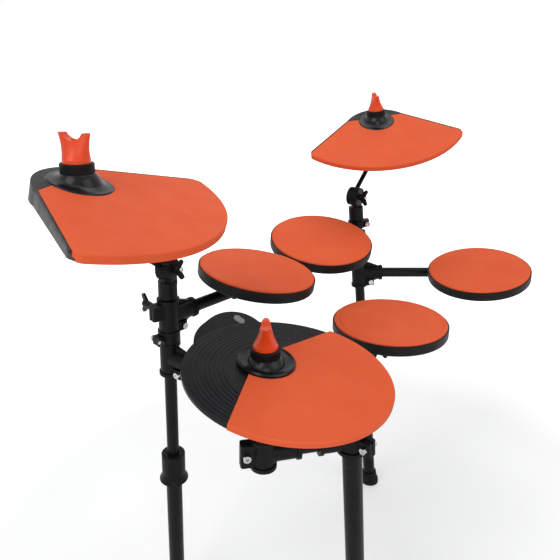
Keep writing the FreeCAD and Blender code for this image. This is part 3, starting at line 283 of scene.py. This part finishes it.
ring_pitch, ring_depth, ring_strength = 0.0045, 0.00015, 0.4
ring_radius = plate_plastic.radius_about(middle("hihat_plate"), upward("hihat_plate"))
ring_turn = plate_plastic.math("MULTIPLY", ring_radius, 2 * math.pi / ring_pitch)
plate_plastic.bump(plate_plastic.math("SINE", ring_turn), ring_depth, ring_strength)


# Studs: plated steel with a black plastic collar over the centre that the cymbal rocks about

collar_height, collar_radius = 0.006, 0.0055
collar_black, collar_rough, collar_gloss = (15, 14, 16), (0.5, 0.5, 0.5, 1.0), 0.1


def stud_steel(name, spot, along):
    """Plated steel that is black plastic where the stud is both high and wide enough."""
    paint = plated_steel(name)
    high = paint.math("GREATER_THAN", paint.height_over(spot, along), collar_height)
    wide = paint.math("GREATER_THAN", paint.radius_about(spot, along), collar_radius)
    collar = paint.math("MULTIPLY", high, wide)
    paint.set(Base_Color=paint.mix(collar, paint.fed("Base Color"), linear(*collar_black)),
              Roughness=paint.mix(collar, paint.fed("Roughness"), collar_rough),
              Metallic=paint.math("SUBTRACT", 1.0, collar), Specular_IOR_Level=collar_gloss)
    return paint


for cymbal, node in (("crash", "crash_stud"), ("ride", "ride_stud"), ("hihat", "hihat_rod")):
    dress(node, stud_steel("plated_" + node, *pivot(cymbal + "_nut_turn")))


# Fan bases: black down to a line below the top of the rubber, partly painted shade along the edge under the
# rubber, with the wall under it painted a lighter grey as painted light on the side

lit_wall_drop = 0.0045
top_and_shade_black = (20, 19, 20)
for cymbal in ("crash", "ride"):
    node, rubber = cymbal + "_base", cymbal + "_rubber"
    # the grey of the wall is painted light on the side of the dark base
    paint = moulded("plastic_" + node, dark=(54, 53, 55), light=(66, 65, 67), mottle=24.0, rough=(0.44, 0.58),
                    grain=1500.0, depth=0.0002, Specular_IOR_Level=0.2)
    axis = upward(rubber)
    # black above the line: the base's dark top, with painted shade along the edge under the rubber
    black = paint.math("GREATER_THAN", paint.height_over(top(rubber, axis), axis), -lit_wall_drop)
    paint.set(Base_Color=paint.mix(black, paint.fed("Base Color"), linear(*top_and_shade_black)))
    dress(node, scuffed(paint, scale=80.0, share=0.04))


# Plated bolt ends in the hubs of the two tilters' wing bolts

def lathe(name, spot, along, profile, sides):
    """Turned mesh about the line through a place along a direction, from pairs of radius and height."""
    across = along.orthogonal().normalized()
    other = along.cross(across)
    rings = []
    mesh = bmesh.new()
    for radius, height in profile:
        ring = []
        for i in range(sides):
            turn = 2 * math.pi * i / sides
            arm = across * math.cos(turn) + other * math.sin(turn)
            ring.append(mesh.verts.new(spot + along * height + arm * radius))
        rings.append(ring)
    for low, high in zip(rings, rings[1:]):
        for i in range(sides):
            k = (i + 1) % sides
            mesh.faces.new((low[i], low[k], high[k], high[i]))
    mesh.faces.new(rings[0][::-1])
    mesh.faces.new(rings[-1])
    made = bpy.data.meshes.new(name)
    mesh.to_mesh(made)
    mesh.free()
    wall_corners = 4
    smooth = [len(face.vertices) == wall_corners for face in made.polygons]
    made.polygons.foreach_set("use_smooth", smooth)
    return made


def show(name, data):
    """New object in the scene."""
    made = bpy.data.objects.new(name, data)
    scene.collection.objects.link(made)
    return made


tip_reach = 0.0233
tip_profile = [(0.0038, -0.0010), (0.0038, 0.0030), (0.0034, 0.0042), (0.0022, 0.0050), (0.0008, 0.0052)]
tip_sides = 24
for cymbal in ("crash", "ride"):
    place, axis = pivot(cymbal + "_tilter_wing_turn")
    name = cymbal + "_bolt_tip"
    tip_mesh = lathe(name, place + axis * tip_reach, axis, tip_profile, tip_sides)
    tip_mesh.materials.append(bright_steel.material)
    tip = show(name, tip_mesh)
    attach(tip, cymbal + "_tilter_wing_bolt")


# Floor and sky

def seen_white(tree, plain, white, output):
    """Show the white shader to the camera, a gloss and glass, and light the object by the plain one."""
    path = tree.nodes.new("ShaderNodeLightPath")
    share = path.outputs["Is Camera Ray"]
    for other in ("Is Glossy Ray", "Is Transmission Ray"):
        either = tree.nodes.new("ShaderNodeMath")
        either.operation = "MAXIMUM"
        tree.links.new(share, either.inputs[0])
        tree.links.new(path.outputs[other], either.inputs[1])
        share = either.outputs[0]
    pick = tree.nodes.new("ShaderNodeMixShader")
    for source, socket in zip((share, plain, white), pick.inputs):
        tree.links.new(source, socket)
    tree.links.new(pick.outputs[0], tree.nodes[output].inputs["Surface"])


pure_white = (1.0, 1.0, 1.0, 1.0)

# the floor's own light grows with the distance from the object, so that the shadow fades into white
floor_reach = 12.0
floor_mottle, floor_greys, floor_rough = 1.5, (0.80, 0.84), 0.8
glow_near, glow_far = 0.8, 2.2
glow_low, glow_high = 0.2, 1.0
centre, up = (0.0, 0.0, 0.0), (0.0, 0.0, 1.0)
corners = [(x * floor_reach, y * floor_reach, 0) for x, y in ((-1, -1), (1, -1), (1, 1), (-1, 1))]
floor_mesh = bpy.data.meshes.new("floor")
floor_mesh.from_pydata(corners, [], [tuple(range(len(corners)))])
floor = show("floor", floor_mesh)
floor_paint = Paint("floor")
floor_paint.set(Base_Color=floor_paint.ramp(floor_paint.noise(floor_mottle), cloud_span, *floor_greys),
                Roughness=floor_rough)
glow_level = floor_paint.node(
    "ShaderNodeMapRange", Value=floor_paint.radius_about(centre, up),
    From_Min=glow_near, From_Max=glow_far, To_Min=glow_low, To_Max=glow_high)
glow = floor_paint.node("ShaderNodeEmission", Color=pure_white, Strength=glow_level.outputs[0])
lit_floor = floor_paint.shader.outputs[0]
bright_floor = floor_paint.tree.nodes.new("ShaderNodeAddShader")
floor_paint.feed(bright_floor.inputs[0], lit_floor)
floor_paint.feed(bright_floor.inputs[1], glow.outputs[0])
seen_white(floor_paint.tree, lit_floor, bright_floor.outputs[0], "Material Output")
floor_mesh.materials.append(floor_paint.material)

sky_colour, sky_strength = (0.95, 0.97, 1.0, 1.0), 0.35
white_strength = 1.0
world = bpy.data.worlds.new("studio")
scene.world = world
world.use_nodes = True
sky = world.node_tree
plain_sky = sky.nodes["Background"]
white_sky = sky.nodes.new("ShaderNodeBackground")
for part, colour, strength in ((plain_sky, sky_colour, sky_strength),
                               (white_sky, pure_white, white_strength)):
    part.inputs["Color"].default_value = colour
    part.inputs["Strength"].default_value = strength
seen_white(sky, plain_sky.outputs[0], white_sky.outputs[0], "World Output")


# Light

def softbox(name, spot, size, power):
    data = bpy.data.lights.new(name, "AREA")
    data.shape = "SQUARE"
    data.size = size
    data.energy = power
    lamp = show(name, data)
    lamp.location = spot
    lamp.rotation_euler = (light_aim - Vector(spot)).to_track_quat("-Z", "Y").to_euler()


light_aim = Vector((0.0, 0.0, 0.7))
softbox("key", spot=(-2.9, -3.2, 5.2), size=3.6, power=160.0)
softbox("fill", spot=(4.3, -1.8, 3.8), size=3.6, power=70.0)
softbox("top", spot=(0.4, 1.6, 5.6), size=4.3, power=98.0)
softbox("front", spot=(0.4, -5.2, 2.0), size=3.0, power=70.0)


# Camera, as fitted to the round pads in the photo

image_width_px, focal_px = 560, 575
sensor_mm = 36.0
level_deg, down_deg = 90, 23
camera_spot = (-0.12102, -0.94234, 1.120)
camera_data = bpy.data.cameras.new("camera")
camera_data.sensor_width = sensor_mm
camera_data.sensor_fit = "HORIZONTAL"
camera_data.lens = sensor_mm * focal_px / image_width_px
camera = show("camera", camera_data)
camera.location = camera_spot
camera.rotation_euler = (math.radians(level_deg - down_deg), 0, 0)
scene.camera = camera
